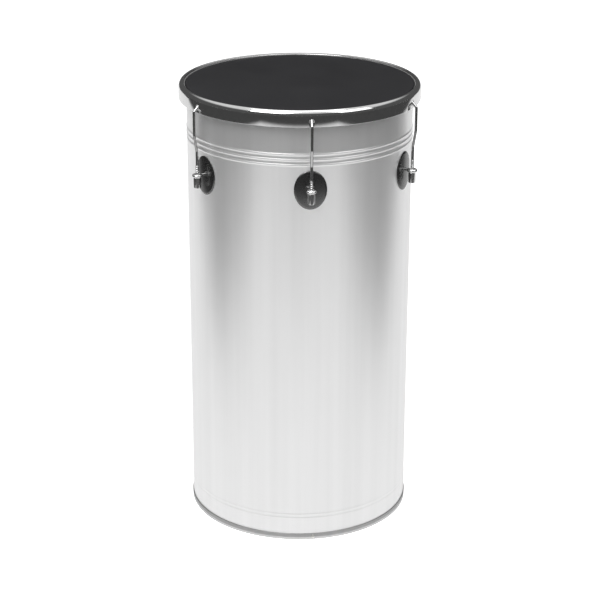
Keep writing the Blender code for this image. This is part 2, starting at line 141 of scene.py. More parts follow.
def platedSteel(name, level, rough):
    # chrome with faint handling mist and a little orange peel
    g = platingGrain
    mat, tree, shader, coords = newMaterial(name, 1.0)
    mist = noiseOn(tree, coords, g["mistScale"], g["mistDetail"], g["mistSwirl"])
    misted = grey(level * g["mistShade"])
    tintFrom(tree, shader, mist, (g["mistFrom"], grey(level)), (g["mistTo"], misted))
    roughFrom(tree, shader, mist, rough, rough + g["mistRough"])
    peel = noiseOn(tree, coords, g["peelScale"], g["peelDetail"])
    bumpFrom(tree, shader, peel, g["peelHeight"], g["peelStrength"])
    return mat


zincGrain = {"scale": 180.0, "detail": 5.0, "swirl": 1.2, "light": (1.0, 0.99, 0.93),
             "dull": (0.8, 0.8, 0.78), "from": 0.3, "to": 0.7, "roughLow": 0.8, "roughHigh": 1.3,
             "height": 0.00003}


def zincPlate(name, level, rough):
    # zinc plating in light and dull blotches
    g = zincGrain
    mat, tree, shader, coords = newMaterial(name, 1.0)
    blotch = noiseOn(tree, coords, g["scale"], g["detail"], g["swirl"])
    light = tuple(level * share for share in g["light"])
    dull = tuple(level * share for share in g["dull"])
    tintFrom(tree, shader, blotch, (g["from"], light), (g["to"], dull))
    roughFrom(tree, shader, blotch, rough * g["roughLow"], rough * g["roughHigh"])
    bumpFrom(tree, shader, blotch, g["height"])
    return mat


napaLook = {"dark": (0.012, 0.012, 0.0135), "light": (0.017, 0.017, 0.0185), "from": 0.3, "to": 0.7,
            "patchScale": 9.0, "patchDetail": 4.0, "patchSwirl": 0.4, "roughLow": 0.46, "roughHigh": 0.6,
            "shine": 0.12, "pebbleScale": 620.0, "pebbleHeight": 0.00006, "pebbleStrength": 0.8,
            "softScale": 40.0, "softDetail": 3.0, "softHeight": 0.0001, "softStrength": 0.5}


def napaSkin(name):
    # black coated napa: fine pebble grain with slow rubbed patches
    n = napaLook
    mat, tree, shader, coords = newMaterial(name)
    shader.inputs["Specular IOR Level"].default_value = n["shine"]
    patches = noiseOn(tree, coords, n["patchScale"], n["patchDetail"], n["patchSwirl"])
    tintFrom(tree, shader, patches, (n["from"], n["dark"]), (n["to"], n["light"]))
    roughFrom(tree, shader, patches, n["roughLow"], n["roughHigh"])
    pebbles = tree.nodes.new("ShaderNodeTexVoronoi")
    pebbles.inputs["Scale"].default_value = n["pebbleScale"]
    tree.links.new(coords.outputs["Object"], pebbles.inputs["Vector"])
    soft = noiseOn(tree, coords, n["softScale"], n["softDetail"])
    slow = bumpFrom(tree, shader, soft, n["softHeight"], n["softStrength"])
    bumpFrom(tree, shader, pebbles.outputs["Distance"], n["pebbleHeight"], n["pebbleStrength"], slow)
    return mat


shellMetal = rolledSheet("rolled aluminium", level=0.88, rough=0.33, streak=0.05, waveHeight=0.0006,
                         metallic=0.78)
trimMetal = rolledSheet("trim aluminium", level=0.42, rough=0.42, streak=0.08, waveHeight=0.0001)
innerHoopMetal = rolledSheet("bare aluminium", level=0.6, rough=0.4, streak=0.08, waveHeight=0.0001)
rivetMetal = zincPlate("rivet steel", level=0.62, rough=0.35)
hoopChrome = platedSteel("hoop chrome", level=0.72, rough=0.07)
# the plates' chrome is set far darker than the other chrome: painted shade standing in for the dark room that
# the plates reflect
plateChromePaintedShade = platedSteel("plate chrome", level=0.17, rough=0.24)
boltChrome = platedSteel("eye bolt chrome", level=0.78, rough=0.12)
hookChrome = platedSteel("hook chrome", level=0.66, rough=0.12)
nutChrome = platedSteel("nut chrome", level=0.74, rough=0.14)
washerZinc = zincPlate("washer zinc", level=0.6, rough=0.4)
innerNutZinc = zincPlate("inner nut zinc", level=0.6, rough=0.38)
skinNapa = napaSkin("black napa")
print("materials made")


# Geometry Nodes trees

def socketIn(group, label, kind, value=None):
    item = group.interface.new_socket(label, in_out="INPUT", socket_type=kind)
    if value is not None:
        item.default_value = value
    return item.identifier


def mathNode(group, operation, first, second=None):
    # first and second are numbers or the sockets that they come from
    node = group.nodes.new("ShaderNodeMath")
    node.operation = operation
    for place, value in ((0, first), (1, second)):
        if value is None:
            continue
        if isinstance(value, (int, float)):
            node.inputs[place].default_value = value
        else:
            group.links.new(value, node.inputs[place])
    return node.outputs["Value"]


def newGroup(name):
    group = bpy.data.node_groups.new(name, "GeometryNodeTree")
    socketIn(group, "Geometry", "NodeSocketGeometry")
    group.interface.new_socket("Geometry", in_out="OUTPUT", socket_type="NodeSocketGeometry")
    return group


def closeGroup(group, geometry, start):
    # every tree ends in Realize Instances and Set Material
    real = group.nodes.new("GeometryNodeRealizeInstances")
    paint = group.nodes.new("GeometryNodeSetMaterial")
    out = group.nodes.new("NodeGroupOutput")
    group.links.new(geometry, real.inputs["Geometry"])
    group.links.new(real.outputs["Geometry"], paint.inputs["Geometry"])
    group.links.new(start.outputs["Material"], paint.inputs["Material"])
    group.links.new(paint.outputs["Geometry"], out.inputs["Geometry"])


def turnedTree():
    # turns a line of points in the XZ plane about Z
    weldDistance = 0.000001
    group = newGroup("turned about Z")
    ids = {"Sides": socketIn(group, "Sides", "NodeSocketInt", 128),
           "Material": socketIn(group, "Material", "NodeSocketMaterial")}
    start = group.nodes.new("NodeGroupInput")
    size = group.nodes.new("GeometryNodeAttributeDomainSize")
    group.links.new(start.outputs["Geometry"], size.inputs["Geometry"])
    pointCount = size.outputs["Point Count"]
    # a grid with one row of points for each side, and one more to close the turn
    grid = group.nodes.new("GeometryNodeMeshGrid")
    group.links.new(mathNode(group, "ADD", start.outputs["Sides"], 1), grid.inputs["Vertices X"])
    group.links.new(pointCount, grid.inputs["Vertices Y"])
    index = group.nodes.new("GeometryNodeInputIndex").outputs["Index"]
    # the added half keeps rounding from putting a row's first point in the row before
    rowShare = mathNode(group, "DIVIDE", mathNode(group, "ADD", index, 0.5), pointCount)
    row = mathNode(group, "FLOOR", rowShare)
    place = mathNode(group, "SUBTRACT", index, mathNode(group, "MULTIPLY", row, pointCount))
    angle = mathNode(group, "DIVIDE", mathNode(group, "MULTIPLY", row, 2 * math.pi), start.outputs["Sides"])
    # each grid point takes its own point of the line, turned by its row's angle
    position = group.nodes.new("GeometryNodeInputPosition")
    sample = group.nodes.new("GeometryNodeSampleIndex")
    sample.data_type = "FLOAT_VECTOR"
    group.links.new(start.outputs["Geometry"], sample.inputs["Geometry"])
    group.links.new(position.outputs["Position"], sample.inputs["Value"])
    group.links.new(place, sample.inputs["Index"])
    split = group.nodes.new("ShaderNodeSeparateXYZ")
    group.links.new(sample.outputs["Value"], split.inputs["Vector"])
    radius = split.outputs["X"]
    join = group.nodes.new("ShaderNodeCombineXYZ")
    group.links.new(mathNode(group, "MULTIPLY", radius, mathNode(group, "COSINE", angle)), join.inputs["X"])
    group.links.new(mathNode(group, "MULTIPLY", radius, mathNode(group, "SINE", angle)), join.inputs["Y"])
    group.links.new(split.outputs["Z"], join.inputs["Z"])
    move = group.nodes.new("GeometryNodeSetPosition")
    group.links.new(grid.outputs["Mesh"], move.inputs["Geometry"])
    group.links.new(join.outputs["Vector"], move.inputs["Position"])
    weld = group.nodes.new("GeometryNodeMergeByDistance")
    weld.inputs["Distance"].default_value = weldDistance
    group.links.new(move.outputs["Geometry"], weld.inputs["Geometry"])
    closeGroup(group, weld.outputs["Geometry"], start)
    return group, ids


def roundTree():
    # sets copies of a piece evenly round Z
    group = newGroup("copies round Z")
    ids = {"Copies": socketIn(group, "Copies", "NodeSocketInt", lugCount),
           "First angle": socketIn(group, "First angle", "NodeSocketFloat", 0.0),
           "Material": socketIn(group, "Material", "NodeSocketMaterial")}
    start = group.nodes.new("NodeGroupInput")
    line = group.nodes.new("GeometryNodeMeshLine")
    line.inputs["Offset"].default_value = (0, 0, 0)
    group.links.new(start.outputs["Copies"], line.inputs["Count"])
    index = group.nodes.new("GeometryNodeInputIndex").outputs["Index"]
    fullTurns = mathNode(group, "MULTIPLY", index, 2 * math.pi)
    angle = mathNode(group, "DIVIDE", fullTurns, start.outputs["Copies"])
    turn = group.nodes.new("ShaderNodeCombineXYZ")
    group.links.new(mathNode(group, "ADD", angle, start.outputs["First angle"]), turn.inputs["Z"])
    copies = group.nodes.new("GeometryNodeInstanceOnPoints")
    group.links.new(line.outputs["Mesh"], copies.inputs["Points"])
    group.links.new(start.outputs["Geometry"], copies.inputs["Instance"])
    group.links.new(turn.outputs["Vector"], copies.inputs["Rotation"])
    closeGroup(group, copies.outputs["Instances"], start)
    return group, ids


def rodTree():
    # a round rod along a line of points, with every bend rounded
    bendSteps = 8
    group = newGroup("rod along a line")
    ids = {"Radius": socketIn(group, "Radius", "NodeSocketFloat", 0.002),
           "Bend radius": socketIn(group, "Bend radius", "NodeSocketFloat", 0.004),
           "Sides": socketIn(group, "Sides", "NodeSocketInt", 20),
           "Material": socketIn(group, "Material", "NodeSocketMaterial")}
    start = group.nodes.new("NodeGroupInput")
    toCurve = group.nodes.new("GeometryNodeMeshToCurve")
    group.links.new(start.outputs["Geometry"], toCurve.inputs["Mesh"])
    fillet = group.nodes.new("GeometryNodeFilletCurve")
    fillet.mode = "POLY"
    fillet.inputs["Count"].default_value = bendSteps
    fillet.inputs["Limit Radius"].default_value = True
    group.links.new(toCurve.outputs["Curve"], fillet.inputs["Curve"])
    group.links.new(start.outputs["Bend radius"], fillet.inputs["Radius"])
    circle = group.nodes.new("GeometryNodeCurvePrimitiveCircle")
    group.links.new(start.outputs["Radius"], circle.inputs["Radius"])
    group.links.new(start.outputs["Sides"], circle.inputs["Resolution"])
    sweep = group.nodes.new("GeometryNodeCurveToMesh")
    sweep.inputs["Fill Caps"].default_value = True
    group.links.new(fillet.outputs["Curve"], sweep.inputs["Curve"])
    group.links.new(circle.outputs["Curve"], sweep.inputs["Profile Curve"])
    closeGroup(group, sweep.outputs["Mesh"], start)
    return group, ids


def threadTree():
    # a helical ridge up Z, joined to the bare rod that comes in
    turnSteps = 14
    ridgeSides = 4
    group = newGroup("thread up Z")
    ids = {"Root radius": socketIn(group, "Root radius", "NodeSocketFloat", 0.0021),
           "Ridge": socketIn(group, "Ridge", "NodeSocketFloat", 0.0004),
           "Length": socketIn(group, "Length", "NodeSocketFloat", 0.02),
           "Pitch": socketIn(group, "Pitch", "NodeSocketFloat", 0.0008),
           "Material": socketIn(group, "Material", "NodeSocketMaterial")}
    start = group.nodes.new("NodeGroupInput")
    spiral = group.nodes.new("GeometryNodeCurveSpiral")
    spiral.inputs["Resolution"].default_value = turnSteps
    turns = mathNode(group, "DIVIDE", start.outputs["Length"], start.outputs["Pitch"])
    group.links.new(turns, spiral.inputs["Rotations"])
    group.links.new(start.outputs["Root radius"], spiral.inputs["Start Radius"])
    group.links.new(start.outputs["Root radius"], spiral.inputs["End Radius"])
    group.links.new(start.outputs["Length"], spiral.inputs["Height"])
    ridge = group.nodes.new("GeometryNodeCurvePrimitiveCircle")
    ridge.inputs["Resolution"].default_value = ridgeSides
    group.links.new(start.outputs["Ridge"], ridge.inputs["Radius"])
    sweep = group.nodes.new("GeometryNodeCurveToMesh")
    sweep.inputs["Fill Caps"].default_value = True
    group.links.new(spiral.outputs["Curve"], sweep.inputs["Curve"])
    group.links.new(ridge.outputs["Curve"], sweep.inputs["Profile Curve"])
    joined = group.nodes.new("GeometryNodeJoinGeometry")
    group.links.new(start.outputs["Geometry"], joined.inputs["Geometry"])
    group.links.new(sweep.outputs["Mesh"], joined.inputs["Geometry"])
    closeGroup(group, joined.outputs["Geometry"], start)
    return group, ids


turnedAboutZ = turnedTree()
copiesRoundZ = roundTree()
rodAlongLine = rodTree()
threadUpZ = threadTree()
print("node trees made")


# Mesh helpers

def addObject(name, data):
    obj = bpy.data.objects.new(name, data)
    bpy.context.scene.collection.objects.link(obj)
    return obj


def plainMesh(obj):
    # the mesh that an object's modifiers give
    return bpy.data.meshes.new_from_object(obj.evaluated_get(bpy.context.evaluated_depsgraph_get()))


def meshFrom(bm, name):
    mesh = bpy.data.meshes.new(name)
    bm.to_mesh(mesh)
    bm.free()
    return mesh


def lineMesh(name, points):
    mesh = bpy.data.meshes.new(name)
    mesh.from_pydata([tuple(p) for p in points], [(i, i + 1) for i in range(len(points) - 1)], [])
    return mesh


def throughTree(mesh, tree, values):
    # runs a mesh through a tree, with values by input name, and gives the plain mesh that comes out
    group, ids = tree
    obj = addObject(mesh.name, mesh)
    modifier = obj.modifiers.new("tree", "NODES")
    modifier.node_group = group
    for label, value in values.items():
        modifier[ids[label]] = value
    made = plainMesh(obj)
    obj.modifiers.remove(modifier)
    bpy.data.objects.remove(obj)
    return made


def softShading(mesh, sharp):
    # sharp is the angle in degrees past which an edge stays crisp
    mesh.shade_smooth()
    mesh.set_sharp_from_angle(angle=math.radians(sharp))
    return mesh


def tidyMesh(mesh, sharp):
    bm = bmesh.new()
    bm.from_mesh(mesh)
    bmesh.ops.recalc_face_normals(bm, faces=bm.faces)
    bm.to_mesh(mesh)
    bm.free()
    return softShading(mesh, sharp)


def turned(name, profile, sides, material, closed=True, sharp=40):
    # profile is a list of (r, z) points; one that isn't closed starts and ends on the axis
    points = [(r, 0, z) for r, z in profile]
    if closed:
        points.append(points[0])
    mesh = throughTree(lineMesh(name, points), turnedAboutZ, {"Sides": sides, "Material": material})
    return tidyMesh(mesh, sharp)


def joinMeshes(name, meshes):
    bm = bmesh.new()
    for mesh in meshes:
        bm.from_mesh(mesh)
    joined = meshFrom(bm, name)
    for mat in meshes[0].materials:
        joined.materials.append(mat)
    return joined


def bridgeRings(bm, rings):
    # faces from each ring of vertices to the next, and from the last to the first
    for one, other in zip(rings, rings[1:] + rings[:1]):
        for i in range(len(one)):
            j = (i + 1) % len(one)
            bm.faces.new((one[i], one[j], other[j], other[i]))


def addPiece(name, mesh, body, slotName, *replaced):
    mesh.name = name
    obj = addObject(name, mesh)
    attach(obj, body)
    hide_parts(*replaced)


def rounded(points, radius, steps):
    # rounds every corner of a closed outline of (r, z) points
    mostOfSide = 0.45
    out = []
    count = len(points)
    for i in range(count):
        corner = Vector(points[i])
        back = Vector(points[i - 1]) - corner
        ahead = Vector(points[(i + 1) % count]) - corner
        reach = min(radius, back.length * mostOfSide, ahead.length * mostOfSide)
        first = corner + back.normalized() * reach
        last = corner + ahead.normalized() * reach
        for k in range(steps + 1):
            t = k / steps
            p = first * (1 - t) ** 2 + corner * 2 * t * (1 - t) + last * t * t
            out.append((p.x, p.y))
    return out


def arc(centre, radii, start, end, steps):
    out = []
    for i in range(steps + 1):
        a = math.radians(start + (end - start) * i / steps)
        out.append((centre[0] + radii[0] * math.cos(a), centre[1] + radii[1] * math.sin(a)))
    return out


# Shell and trim

shellSizes = {"radius": 0.175, "wall": 0.0012, "endBand": 0.012, "beadSteps": 8, "sides": 288,
              "topBeads": 3, "topBeadDrop": 0.0653, "topBeadPitch": 0.008, "topBeadWidth": 0.0056,
              "topBeadRise": 0.0009, "lowBeads": 2, "lowBeadLift": 0.036, "lowBeadPitch": 0.0063,
              "lowBeadWidth": 0.005, "lowBeadRise": 0.0004}


def buildShell(s):
    low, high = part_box("shell")
    beads = [(low.z + s["lowBeadLift"] + i * s["lowBeadPitch"], s["lowBeadWidth"], s["lowBeadRise"])
             for i in range(s["lowBeads"])]
    beads += [(high.z - s["topBeadDrop"] - i * s["topBeadPitch"], s["topBeadWidth"], s["topBeadRise"])
              for i in reversed(range(s["topBeads"]))]
    outer = [(s["radius"], low.z), (s["radius"], low.z + s["endBand"])]
    for centre, width, rise in beads:
        for k in range(s["beadSteps"] + 1):
            t = 2 * k / s["beadSteps"] - 1  # from -1 to 1 across the bead
            outer.append((s["radius"] + rise * (1 + math.cos(math.pi * t)) / 2, centre + t * width / 2))
    outer += [(s["radius"], high.z - s["endBand"]), (s["radius"], high.z)]
    inner = [(r - s["wall"], z) for r, z in reversed(outer)]
    mesh = turned("rolled_shell", outer + inner, s["sides"], shellMetal)
    addPiece("rolled_shell", mesh, "shell", "shell_aluminium", "shell")


trimSizes = {"sheet": 0.0009, "gap": 0.0003, "bend": 0.0005, "bendSteps": 3}

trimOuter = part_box("base_ring")[1].x
trimInner = shellSizes["radius"] - shellSizes["wall"] - trimSizes["gap"] - trimSizes["sheet"]


def buildTrim(s):
    low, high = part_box("base_ring")
    sheet = s["sheet"]
    channel = [(trimOuter, low.z), (trimOuter, high.z), (trimOuter - sheet, high.z),
               (trimOuter - sheet, low.z + sheet), (trimInner + sheet, low.z + sheet),
               (trimInner + sheet, high.z), (trimInner, high.z), (trimInner, low.z)]
    outline = rounded(channel, s["bend"], s["bendSteps"])
    mesh = turned("trim_channel", outline, shellSizes["sides"], trimMetal)
    addPiece("trim_channel", mesh, "shell", "trim_aluminium", "base_ring")


rivetSizes = {"head": 0.003, "headFlat": 0.0008, "headStart": 80, "headSteps": 6, "dimple": 0.0007,
              "dimpleDepth": 0.0005, "shank": 0.0016, "tail": 0.0026, "tailEdge": 0.0012,
              "tailLength": 0.0015, "tailTipShare": 0.7, "sides": 32}


def buildRivet(s):
    # lies along a radius of the drum, so its profile's heights are distances from the drum's axis
    low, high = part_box("base_rivet")
    middle = (low + high) / 2
    angle = math.atan2(middle.y, middle.x)
    outerEnd = -low.y / abs(math.sin(angle))
    headSeat = trimOuter + trimSizes["gap"]
    tailSeat = trimInner - trimSizes["gap"]
    tailEnd = tailSeat - s["tailLength"]
    dimpleFloor = outerEnd - s["dimpleDepth"]
    profile = [(0, dimpleFloor), (s["dimple"], dimpleFloor), (s["headFlat"], outerEnd)]
    domeRadii = (s["head"] - s["headFlat"], outerEnd - headSeat)
    profile += arc((s["headFlat"], headSeat), domeRadii, s["headStart"], 0, s["headSteps"])
    profile += [(s["shank"], headSeat), (s["shank"], tailSeat), (s["tail"], tailSeat),
                (s["tail"], tailSeat - s["tailEdge"]), (s["tail"] * s["tailTipShare"], tailEnd), (0, tailEnd)]
    mesh = turned("trim_rivet", profile, s["sides"], rivetMetal, closed=False)
    lieDown = Matrix.Rotation(math.pi / 2, 4, "Y")
    mesh.transform(Matrix.Translation((0, 0, middle.z)) @ Matrix.Rotation(angle, 4, "Z") @ lieDown)
    addPiece("trim_rivet", mesh, "shell", "rivet_steel", "base_rivet")


buildShell(shellSizes)
buildTrim(trimSizes)
buildRivet(rivetSizes)
print("shell and trim made")


# Head and hoops

# lipBend's pairs are how far inwards from the crown and how far down
hoopSizes = {"sheet": 0.0012, "shoulderWidth": 0.006, "shoulderHeight": 0.0085, "outerSteps": 18,
             "innerSteps": 14, "lipDrop": 0.0014, "lipInset": 0.0018,
             "lipBend": ((0.0011, 0.0002), (0.002, 0.0007)), "edgeSteps": 6, "skirtBelowHole": 0.005,
             "holeGap": 0.0003, "holeDepth": 0.006, "holeSides": 40, "sides": 288, "sharp": 50}
# the hooks' sizes are here too, because the hoop's holes follow the rod
hookSizes = {"rodRadius": 0.0022, "tilt": 45, "standOff": 0.0038, "reach": 0.0036, "bendRadius": 0.005,
             "joggleAboveEye": 0.038, "joggleLength": 0.025, "sides": 24, "threadRadius": 0.0025,
             "threadDepth": 0.0005, "threadAboveEye": 0.018, "pitch": 0.0008, "ridge": 0.00045,
             "ridgeLift": 0.00005, "ridgeStop": 0.0015, "rodSunk": 0.001, "collar": 0.0002,
             "tipShare": 0.75, "tipLength": 0.0008, "sharp": 40}

hoopLow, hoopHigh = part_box("counter_hoop")
skirtOuter = hoopHigh.x
halfSheet = hoopSizes["sheet"] / 2
skirtMiddle = skirtOuter - halfSheet
hookTilt = math.radians(hookSizes["tilt"])
# the rod crosses the skirt at a tilt, so its hole is wider than the rod
holeRadius = (hookSizes["rodRadius"] / math.cos(hookTilt) + halfSheet * math.tan(hookTilt)
              + hoopSizes["holeGap"])
holeHeight = hoopLow.z + hoopSizes["skirtBelowHole"] + holeRadius


headSizes = {"thickness": 0.0012, "edgeRadius": 0.0022, "edgeSteps": 8, "middleRing": 0.5, "sides": 288}


def buildHead(s):
    low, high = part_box("head_membrane")
    outer = high.x
    inner = outer - s["thickness"]
    edge = s["edgeRadius"]
    under = high.z - s["thickness"]
    profile = [(0, high.z), (outer * s["middleRing"], high.z)]
    profile += arc((outer - edge, high.z - edge), (edge, edge), 90, 0, s["edgeSteps"])
    profile += [(outer, low.z), (inner, low.z), (inner, under), (0, under)]
    mesh = turned("drum_skin", profile, s["sides"], skinNapa, closed=False)
    addPiece("drum_skin", mesh, "shell", "napa_skin", "head_membrane")


fleshSizes = {"width": 0.0068, "corner": 0.0012, "edge": 0.0006, "edgeSteps": 3, "sides": 192}


def buildFleshHoop(s):
    low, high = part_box("flesh_hoop")
    inner = high.x - s["width"]
    band = [(inner, low.z), (high.x, low.z), (high.x, high.z - s["corner"]), (high.x - s["corner"], high.z),
            (inner, high.z)]
    mesh = turned("flesh_band", rounded(band, s["edge"], s["edgeSteps"]), s["sides"], innerHoopMetal)
    addPiece("flesh_band", mesh, "hoop", "flesh_hoop_aluminium", "flesh_hoop")


def hoopBand(s):
    # the pressed band in section: shoulder, inner lip and skirt, one sheet thick
    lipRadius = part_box("head_membrane")[1].x + s["lipInset"]
    crown = skirtOuter - s["shoulderWidth"]
    crownTop = hoopHigh.z
    lipTop = crownTop - s["lipDrop"]
    centre = (crown, crownTop - s["shoulderHeight"])
    innerRadii = (s["shoulderWidth"] - s["sheet"], s["shoulderHeight"] - s["sheet"])
    edge = (halfSheet, halfSheet)
    profile = arc(centre, (s["shoulderWidth"], s["shoulderHeight"]), 0, 90, s["outerSteps"])
    profile += [(crown - inwards, crownTop - drop) for inwards, drop in s["lipBend"]]
    profile += arc((lipRadius + halfSheet, lipTop - halfSheet), edge, 90, 270, s["edgeSteps"])
    profile += arc(centre, innerRadii, 90, 0, s["innerSteps"])
    profile += arc((skirtMiddle, hoopLow.z + halfSheet), edge, 180, 360, s["edgeSteps"])
    return turned("pressed_hoop", profile, s["sides"], hoopChrome, sharp=s["sharp"])


def hookDrills(s):
    bm = bmesh.new()
    for angle in lugAngles:
        place = (Matrix.Rotation(angle, 4, "Z") @ Matrix.Translation((skirtMiddle, 0, holeHeight))
                 @ Matrix.Rotation(math.pi / 2, 4, "Y"))
        bmesh.ops.create_cone(bm, cap_ends=True, segments=s["holeSides"], radius1=holeRadius,
                              radius2=holeRadius, depth=s["holeDepth"], matrix=place)
    return addObject("drills", meshFrom(bm, "drills"))


def buildCounterHoop(s):
    hoop = addObject("pressed_hoop", hoopBand(s))
    drills = hookDrills(s)
    holes = hoop.modifiers.new("holes", "BOOLEAN")
    holes.object = drills
    holes.operation = "DIFFERENCE"
    holes.solver = "EXACT"
    cut = softShading(plainMesh(hoop), s["sharp"])
    bpy.data.objects.remove(hoop)
    bpy.data.objects.remove(drills)
    addPiece("pressed_hoop", cut, "hoop", "hoop_chrome", "counter_hoop")


buildHead(headSizes)
buildFleshHoop(fleshSizes)
buildCounterHoop(hoopSizes)
print("head and hoops made")


# Lugs: made once along +X and copied round the drum, apart from the long nuts, which each turn

# neck's pairs are how far down from the eye's centre line and how many wire radii wide
boltSizes = {"wireRadius": 0.0025, "eyeHole": 0.003, "gap": 0.0003, "wireSides": 24, "ringSides": 48,
             "shankSides": 32, "tipShare": 0.8, "tipLength": 0.0006, "neckCap": 0.0004, "sharp": 40,
             "neck": ((0.0045, 1.0), (0.003, 1.03), (0.0015, 1.12), (0.0, 1.2))}

boltLow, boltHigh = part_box("eye_bolt_1")
boltHeight = (boltLow.z + boltHigh.z) / 2
eyeCentreLine = boltSizes["eyeHole"] + boltSizes["wireRadius"]
eyeOuter = boltSizes["eyeHole"] + 2 * boltSizes["wireRadius"]
rodLine = -boltLow.y - eyeOuter
alongRadius = Matrix.Rotation(math.pi / 2, 4, "Y")  # lays a piece turned about Z along the drum's radius


def allLugs(kind):
    return [f"{kind}_{i + 1}" for i in range(lugCount)]


def roundTheDrum(mesh, material):
    values = {"Copies": lugCount, "First angle": firstLug, "Material": material}
    return throughTree(mesh, copiesRoundZ, values)


plateSizes = {"sheet": 0.0012, "dome": 0.0016, "rimRound": 0.0009, "rings": 16, "sides": 72, "sharp": 50,
              "arcOverChord": 1.003}


def lugPlateMesh(s):
    # an oval, domed and wrapped round the shell; its rings run from the bolt's hole to the rim and back
    low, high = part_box("lug_plate_1")
    centre = (low.z + high.z) / 2
    halfHeight = (high.z - low.z) / 2
    halfWidth = high.x * s["arcOverChord"]
    seat = shellSizes["radius"] + boltSizes["gap"]
    hole = boltSizes["wireRadius"] + boltSizes["gap"]
    holeRise = boltHeight - centre
    stops = [(k / s["rings"], s["sheet"]) for k in range(s["rings"])]
    stops += [(1.0, s["sheet"] - s["rimRound"]), (1.0, 0.0), (0.5, 0.0), (0.0, 0.0)]
    bm = bmesh.new()
    rings = []
    for share, lift in stops:
        ring = []
        for i in range(s["sides"]):
            a = 2 * math.pi * i / s["sides"]
            across = math.cos(a) * (hole + share * (halfWidth - hole))
            up = math.sin(a) * (hole + share * (halfHeight - hole)) + holeRise * (1 - share)
            reach = (across / halfWidth) ** 2 + (up / halfHeight) ** 2
            radius = seat + lift + s["dome"] * max(0.0, 1 - reach)
            turn = across / shellSizes["radius"]
            ring.append(bm.verts.new((radius * math.cos(turn), radius * math.sin(turn), centre + up)))
        rings.append(ring)
    bridgeRings(bm, rings)
    return tidyMesh(meshFrom(bm, "lug_plates"), s["sharp"])


def eyeBoltMesh(s):
    # the eye's ring about the rod line, and its shank with a soft shoulder
    wire = s["wireRadius"]
    circle = []
    for k in range(s["wireSides"]):
        a = 2 * math.pi * k / s["wireSides"]
        circle.append((eyeCentreLine + wire * math.cos(a), wire * math.sin(a)))
    ring = turned("eye_ring", circle, s["ringSides"], boltChrome)
    ring.transform(Matrix.Translation((rodLine, 0, boltHeight)))
    shankEnd = -boltHigh.y
    neck = rodLine - eyeCentreLine
    profile = [(0, shankEnd), (wire * s["tipShare"], shankEnd), (wire, shankEnd + s["tipLength"])]
    profile += [(wire * swell, neck - below) for below, swell in s["neck"]]
    profile.append((0, neck + s["neckCap"]))
    shank = turned("eye_shank", profile, s["shankSides"], boltChrome, closed=False)
    shank.transform(Matrix.Translation((0, 0, boltHeight)) @ alongRadius)
    return tidyMesh(joinMeshes("eye_bolts", [ring, shank]), s["sharp"])


washerSizes = {"radius": 0.0075, "thickness": 0.001, "edge": 0.0002, "edgeSteps": 2, "sides": 48}


def washerMesh(s):
    seat = -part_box("eye_washer_1")[0].y
    hole = boltSizes["wireRadius"] + boltSizes["gap"]
    outline = [(hole, 0), (s["radius"], 0), (s["radius"], -s["thickness"]), (hole, -s["thickness"])]
    washer = turned("washer", rounded(outline, s["edge"], s["edgeSteps"]), s["sides"], washerZinc)
    washer.transform(Matrix.Translation((seat, 0, boltHeight)) @ alongRadius)
    return washer


# chamferSteps are shares of the way up a nut's chamfer, closer together near its end face
hexSizes = {"sides": 72, "faceShare": 0.96, "chamferSteps": (0.0, 0.12, 0.26, 0.42, 0.6, 0.8, 1.0),
            "boreInset": 0.0005, "boreFlare": 0.0004, "sharp": 24}


def hexRadius(flat, angle):
    # a hexagon's reach from its axis, with a corner at angle 0
    off = (angle + math.pi / 6) % (math.pi / 3) - math.pi / 6
    return flat / math.cos(math.pi / 6 - abs(off))


def hexNut(name, width, height, bore, chamfer, material):
    # a hexagon cut by a cone at each end, with a plain bore
    s = hexSizes
    flat = width / 2
    face = flat * s["faceShare"]
    rise = hexRadius(flat, 0) - face
    angles = [2 * math.pi * i / s["sides"] for i in range(s["sides"])]
    bm = bmesh.new()

    def ringAt(z, radii):
        return [bm.verts.new((r * math.cos(a), r * math.sin(a), z)) for r, a in zip(radii, angles)]

    def roundRing(z, radius):
        return ringAt(z, [radius] * s["sides"])

    def hexRing(z, cone):
        return ringAt(z, [min(hexRadius(flat, a), cone) for a in angles])

    rings = [roundRing(s["boreInset"], bore), roundRing(0.0, bore + s["boreFlare"])]
    rings += [hexRing(t * chamfer, face + rise * t) for t in s["chamferSteps"]]
    rings += [hexRing(height - t * chamfer, face + rise * t) for t in reversed(s["chamferSteps"])]
    rings += [roundRing(height, bore + s["boreFlare"]), roundRing(height - s["boreInset"], bore)]
    bridgeRings(bm, rings)
    mesh = meshFrom(bm, name)
    mesh.materials.append(material)
    return tidyMesh(mesh, s["sharp"])


innerNutSizes = {"width": 0.008, "height": 0.004, "chamfer": 0.0007, "boreGap": 0.0002}


def innerNutMesh(s):
    seat = -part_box("eye_nut_1")[0].y
    bore = boltSizes["wireRadius"] + s["boreGap"]
    nut = hexNut("inner_nut", s["width"], s["height"], bore, s["chamfer"], innerNutZinc)
    nut.transform(Matrix.Translation((seat, 0, boltHeight)) @ Matrix.Rotation(-math.pi / 2, 4, "Y"))
    return nut


def hookRod(s):
    # from inside the thread up past the joggle, then bent in through the hoop's hole
    upper = skirtOuter + s["standOff"] + s["rodRadius"]
    joggle = boltHeight + s["joggleAboveEye"]
    bendHeight = holeHeight - (upper - skirtMiddle) * math.tan(hookTilt)
    end = (skirtMiddle - s["reach"] * math.cos(hookTilt), 0, holeHeight + s["reach"] * math.sin(hookTilt))
    start = (rodLine, 0, boltHeight + s["threadAboveEye"] - s["rodSunk"])
    line = [start, (rodLine, 0, joggle), (upper, 0, joggle + s["joggleLength"]), (upper, 0, bendHeight), end]
    return throughTree(lineMesh("hook_rod", line), rodAlongLine,
                       {"Radius": s["rodRadius"], "Bend radius": s["bendRadius"], "Sides": s["sides"],
                        "Material": hookChrome})


